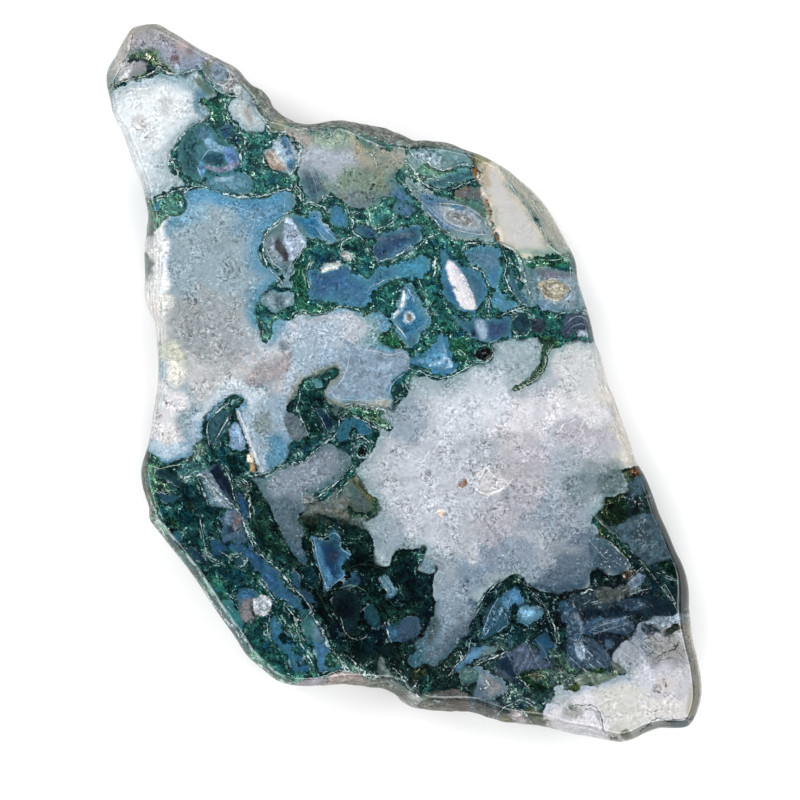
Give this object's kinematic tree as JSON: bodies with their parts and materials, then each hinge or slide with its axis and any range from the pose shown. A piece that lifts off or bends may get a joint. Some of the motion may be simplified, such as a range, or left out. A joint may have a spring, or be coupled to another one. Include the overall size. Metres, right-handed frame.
{
  "type": "moss agate",
  "caption": "Polished free-form slab of moss agate with a flat polished face, a bevelled rim, stretches of natural rind and a flat sawn back.",
  "frame": {"origin": "middle of the slab's outline on the flat sawn back", "axes": "+Z out of the polished face, +Y towards the narrow tip's end along the slab's longer side, +X to the right when the polished face is seen with +Y up"},
  "size_m": [0.0596, 0.0718, 0.01],
  "materials": {
    "polished_agate": "polished chalcedony and quartz with dark green moss-like inclusions, natural rind on parts of the rim"
  },
  "bodies": {
    "root": {"moss_agate": "polished_agate"}
  },
  "joints": []
}
